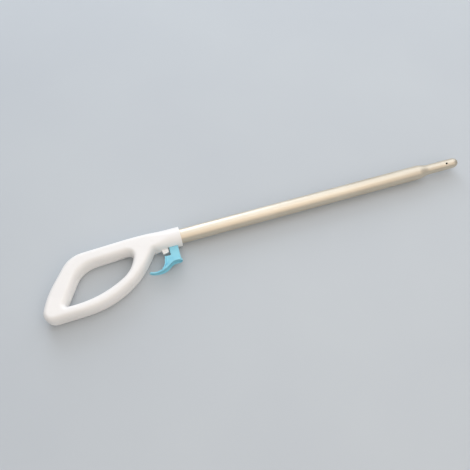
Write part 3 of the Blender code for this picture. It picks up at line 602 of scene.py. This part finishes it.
def bandStrip(sizes):
    # a sheet laid along the finger face, thickened, then pressed in for the channel
    path = smoothPath(sizes["face"], sizes["faceSteps"])
    bm = bmesh.new()
    columns, rows = sizes["bandGrid"]
    bmesh.ops.create_grid(bm, x_segments=columns, y_segments=rows, size=0.5)
    lengths = [0]
    for a, b in zip(path, path[1:]):
        lengths.append(lengths[-1] + (b - a).length)
    total = lengths[-1]
    low, high = sizes["channelRim"]
    narrowStart, narrowLength = sizes["narrowing"]
    thinStart, thinLength = sizes["thinning"]
    ends = sizes["endReach"][0] * sizes["bandHalf"], sizes["endReach"][1] * sizes["tailHalf"]
    pressed = {}
    for vert in bm.verts:
        along, across = (vert.co.x + 0.5) * total, 2 * vert.co.y
        i = min(max(k for k, l in enumerate(lengths) if l <= along + weld), len(path) - 2)
        spot = path[i].lerp(path[i + 1], (along - lengths[i]) / (lengths[i + 1] - lengths[i]))
        run = (path[i + 1] - path[i]).normalized()
        half = between(sizes["bandHalf"], sizes["tailHalf"], ease((along - narrowStart) / narrowLength))
        for distance, reach in zip((along, total - along), ends):
            if distance < reach:
                half *= math.sqrt(max(sizes["endLeast"], 1 - (1 - distance / reach) ** 2))
        edge = min((1 - abs(across)) * half, along, total - along)
        deep = between(sizes["channelDeep"], sizes["tailDeep"], ease((along - thinStart) / thinLength))
        pressed[vert] = deep * ease((edge - low) / (high - low)) * Vector((run.y, -run.x, 0))
        vert.co = spot + Vector((0, 0, across * half))
    rear = bmesh.ops.extrude_face_region(bm, geom=bm.faces[:])["geom"]
    for vert in ofKind(rear, bmesh.types.BMVert):
        i = min(range(len(path)), key=lambda k: (path[k].to_2d() - vert.co.to_2d()).length)
        run = (path[min(i + 1, len(path) - 1)] - path[max(i - 1, 0)]).normalized()
        thick = between(sizes["bandThick"], sizes["tailThick"], ease((lengths[i] - thinStart) / thinLength))
        vert.co += thick * Vector((run.y, -run.x, 0))
    for vert, move in pressed.items():
        vert.co += move
    return bm


def triggerPiece(sizes):
    piece = asObject("trigger_body", bandStrip(sizes))
    (rearX, frontX), half = sizes["stem"], sizes["half"]
    pivotX, pivotY = sizes["pivot"]
    hub, taper = sizes["hub"], sizes["stemTaper"]

    bm = bmesh.new()
    sunk = (sizes["bandThick"] + sizes["channelDeep"]) / 2  # the web ends inside the band, behind its channel
    rearEdge = [(p.x, p.y) for p in smoothPath(sizes["rear"], sizes["rearSteps"])]
    bandTop = [(p.x, p.y + sunk) for p in smoothPath(sizes["face"][1:5], sizes["webSteps"])]
    web = [(pivotX + hub, pivotY), (frontX, sizes["neckY"]), (frontX - taper, sizes["face"][0][1] + sunk)]
    web += bandTop + rearEdge[::-1]
    web += [(rearX - taper, rearEdge[0][1]), (rearX, sizes["neckY"]), (pivotX - hub, pivotY)]
    addPlate(bm, web[::-1], -half, half)
    combine(piece, asObject("web", bm), "UNION")

    bm = bmesh.new()
    strip = []
    for i, (x, y) in enumerate(rearEdge):
        a, b = rearEdge[max(i - 1, 0)], rearEdge[min(i + 1, len(rearEdge) - 1)]
        run = (Vector(b) - Vector(a)).normalized()
        strip.append((x - run.y * sizes["flangeThick"], y + run.x * sizes["flangeThick"]))
    addPlate(bm, rearEdge + strip[::-1], -sizes["flangeHalf"], sizes["flangeHalf"])
    combine(piece, asObject("flange", bm), "UNION")

    bm = bmesh.new()
    addBar(bm, hub, -half, half, (pivotX, pivotY))
    combine(piece, asObject("hub", bm), "UNION")
    waist, reach, thick = sizes["lever"]
    for nose in (False, True):
        bm = bmesh.new()
        if nose:
            addBar(bm, sizes["nose"], -thick, thick, (0, reach))
        else:
            addBlock(bm, (-waist, 0, -thick), (waist, reach, thick))
        lean = Matrix.Translation((pivotX, pivotY, 0)) @ Matrix.Rotation(math.radians(sizes["lean"]), 4, "Z")
        bmesh.ops.transform(bm, matrix=lean, verts=bm.verts)
        combine(piece, asObject("lever", bm), "UNION")
    bm = bmesh.new()
    addBar(bm, sizes["bore"], -2 * half, 2 * half, (pivotX, pivotY))
    combine(piece, asObject("pinBore", bm), "DIFFERENCE")

    remesh = piece.modifiers.new("fuse", "REMESH")
    remesh.mode = "VOXEL"
    remesh.voxel_size = sizes["voxel"]
    soften = piece.modifiers.new("soften", "SMOOTH")
    soften.iterations = sizes["smoothing"]
    applyModifiers(piece)
    return piece


finishPiece(triggerPiece(trigger), blueAbs, "trigger", ["trigger"], sharpAngle=180)

# Return spring, wound by a spin that climbs along the rod.
spring = {"start": 8.85, "length": 31.0, "outer": 5.6, "wire": 0.6, "turns": 8, "perTurn": 28, "wireSteps": 10}


def springPiece(sizes):
    bm = bmesh.new()
    steps = sizes["turns"] * sizes["perTurn"]
    climb = (sizes["length"] - 2 * sizes["wire"]) / steps
    place = Matrix.Translation((sizes["start"] + sizes["wire"], sizes["outer"] - sizes["wire"], 0))
    ring = bmesh.ops.create_circle(bm, segments=sizes["wireSteps"], radius=sizes["wire"], matrix=place)["verts"]
    edges = bm.edges[:]
    bmesh.ops.spin(
        bm, geom=ring + edges, cent=(0, 0, 0), axis=(1, 0, 0), dvec=(climb, 0, 0), angle=math.tau * sizes["turns"],
        steps=steps,
    )
    bmesh.ops.holes_fill(bm, edges=[e for e in bm.edges if e.is_boundary])
    return asObject("returnSpring", bm)


coil = finishPiece(springPiece(spring), brightSteel, "handle", ["return_spring"], sharpAngle=50)
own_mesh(coil)

# Cap on the rod, seen in the open end of the spigot.
cap = {
    "rear": 442.2, "front": 454.2, "radius": 3.9, "crown": 1.95, "socket": 2.8, "socketEnd": 450.2, "edge": 0.3,
    "crownSteps": 12, "roundSteps": 64,
}


def tipCap(sizes):
    profile = [(sizes["socketEnd"], 0), (sizes["socketEnd"], sizes["socket"]), (sizes["rear"], sizes["socket"])]
    profile += [(sizes["rear"], sizes["radius"] - sizes["edge"]), (sizes["rear"] + sizes["edge"], sizes["radius"])]
    for k in range(sizes["crownSteps"] + 1):
        turn = math.pi / 2 * k / sizes["crownSteps"]
        along = sizes["front"] - sizes["crown"] * (1 - math.sin(turn))
        profile.append((along, max(0, sizes["radius"] * math.cos(turn))))
    return turned("rodTipCap", profile, sizes["roundSteps"], closed=False)


finishPiece(tipCap(cap), naturalNylon, "rod", ["rod_tip_cap"], sharpAngle=40)

# Self-tapping screws, heads sunk in their pockets underneath.
screw = {
    "seat": -8.3, "head": 3.0, "headHigh": 2.2, "shank": 1.5, "end": 9.0, "tip": 0.45, "taper": 3.0,
    "domeHigh": 0.9, "domeFlat": 0.45, "domeSteps": 8, "roundSteps": 40,  # dome as shares of the head
    "recess": (1.65, 0.36, 1.3),  # arm, half width, depth
    "recessTaper": 0.5,
    "turnEach": 0.4,  # the screws stop at different angles
}


def screwPiece(number, place, sizes):
    low = sizes["seat"] - sizes["headHigh"]
    profile = [(low, 0)]
    for k in range(sizes["domeSteps"] + 1):  # low dome of the head
        turn = math.pi / 2 * k / sizes["domeSteps"]
        rise = sizes["domeHigh"] * sizes["headHigh"] * (1 - math.cos(turn))
        profile.append((low + rise, sizes["head"] * between(sizes["domeFlat"], 1, math.sin(turn))))
    profile += [(sizes["seat"], sizes["head"]), (sizes["seat"], sizes["shank"])]
    profile += [(sizes["end"] - sizes["taper"], sizes["shank"]), (sizes["end"], sizes["tip"]), (sizes["end"], 0)]
    piece = turned(f"handleScrew_{number}", profile, sizes["roundSteps"], closed=False)
    piece.data.transform(Matrix.Rotation(-math.pi / 2, 4, "Y"))
    arm, half, deep = sizes["recess"]
    for turn in (0, math.pi / 2):
        turn += sizes["turnEach"] * number
        bm = bmesh.new()
        addBlock(bm, (-arm, -half, low - deep), (arm, half, low + deep))
        for vert in bm.verts:
            if vert.co.z > low:
                vert.co.x *= sizes["recessTaper"]  # the recess narrows as it goes in
        bmesh.ops.rotate(bm, verts=bm.verts, cent=(0, 0, 0), matrix=Matrix.Rotation(turn, 3, "Z"))
        combine(piece, asObject("recess", bm), "DIFFERENCE")
    piece.data.transform(Matrix.Translation((*place, 0)))
    return piece


for number, place in enumerate(handle["screws"], 1):
    piece = screwPiece(number, place, screw)
    finishPiece(piece, zincPlate, "handle", [f"handle_screw_{number}"], sharpAngle=30)

# CAD nodes that keep their shape, inside the handle and the tube
keptNodes = {
    "trigger_pivot_pin": brightSteel, "tube_dowel": brightSteel, "push_rod": brightSteel,
    "rod_lock_nut": zincPlate, "spring_washer": zincPlate,
    "crosshead": naturalNylon, "rod_guide_rear": naturalNylon, "rod_guide_middle": naturalNylon,
    "rod_guide_front": naturalNylon, "tube_rear_plug": naturalNylon,
}
for name, material in keptNodes.items():
    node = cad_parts[name]
    if not node.material_slots:
        node.data.materials.append(material)
    for slot in node.material_slots:
        slot.material = material
print("pieces made")

# Floor, light and camera
studio = {
    "floorTints": [(0.3, "#c2c8cd"), (0.7, "#c6ccd0")], "floorCloudMm": 300, "floorSize": 8.0,
    "world": 0.38, "worldTint": "#fafbfc",
    "lamps": [  # name, place, size, watts, tint
        ("skyPanel", (0.7, 1.2, 1.7), 3.4, 37.0, "#f5f9ff"),
        ("keyLamp", (-0.3, 2.6, 1.2), 1.7, 24.0, "#e6efff"),
        ("fillLamp", (0.3, -0.95, 1.65), 2.6, 18.5, "#ffeede"),
    ],
    "cameraPlace": (-0.142548, -0.306437, 0.697205), "azimuth": -17.183, "elevation": 64.0, "roll": 0.258,
    "focalPixels": 510.0, "imagePixels": 470.0, "sensor": 36.0, "clipStart": 0.01,
}


def floorMaterial(look):
    # painted board: pale, matt, with faint roller clouds
    material, tree, shader, place = startMaterial("matt_painted_floor", {"Specular IOR Level": 0.2, "Roughness": 0.9})
    clouds = addNode(
        tree, "ShaderNodeTexNoise", {"Scale": perSize(look["floorCloudMm"]), "Detail": 3.0}, {"Vector": place}
    )
    tint = setRamp(addNode(tree, "ShaderNodeValToRGB", None, {"Fac": clouds.outputs["Fac"]}), look["floorTints"])
    tree.links.new(tint.outputs["Color"], shader.inputs["Base Color"])
    return material


def setStudio(look):
    bm = bmesh.new()
    bmesh.ops.create_grid(bm, x_segments=4, y_segments=4, size=look["floorSize"] / 2)
    mesh = bpy.data.meshes.new("floor")
    bm.to_mesh(mesh)
    bm.free()
    floor = bpy.data.objects.new("floor", mesh)
    bpy.context.scene.collection.objects.link(floor)
    mesh.materials.append(floorMaterial(look))
    mesh.transform(Matrix.Translation((0, 0, cadBox[0][2])))

    world = bpy.data.worlds.new("studio")
    world.use_nodes = True
    background = world.node_tree.nodes["Background"]
    background.inputs["Color"].default_value = linear(look["worldTint"])
    background.inputs["Strength"].default_value = look["world"]
    bpy.context.scene.world = world

    for name, place, size, watts, tint in look["lamps"]:
        data = bpy.data.lights.new(name, "AREA")
        data.size, data.energy, data.color = size, watts, linear(tint)[:3]
        lamp = bpy.data.objects.new(name, data)
        bpy.context.scene.collection.objects.link(lamp)
        lamp.location = place
        lamp.rotation_euler = (Vector((0, 0, 0)) - Vector(place)).to_track_quat("-Z", "Y").to_euler()

    data = bpy.data.cameras.new("camera")
    data.sensor_fit, data.sensor_width = "HORIZONTAL", look["sensor"]
    data.lens = look["sensor"] * look["focalPixels"] / look["imagePixels"]
    data.clip_start = look["clipStart"]
    camera = bpy.data.objects.new("camera", data)
    bpy.context.scene.collection.objects.link(camera)
    a, e = math.radians(look["azimuth"]), math.radians(look["elevation"])
    back = Vector((math.sin(a) * math.cos(e), -math.cos(a) * math.cos(e), math.sin(e)))
    camera.location = look["cameraPlace"]
    roll = Quaternion((0, 0, 1), math.radians(look["roll"]))
    camera.rotation_euler = (back.to_track_quat("Z", "Y") @ roll).to_euler()
    bpy.context.scene.camera = camera
    bpy.context.scene.view_settings.view_transform = "Standard"


setStudio(studio)
print("studio set")
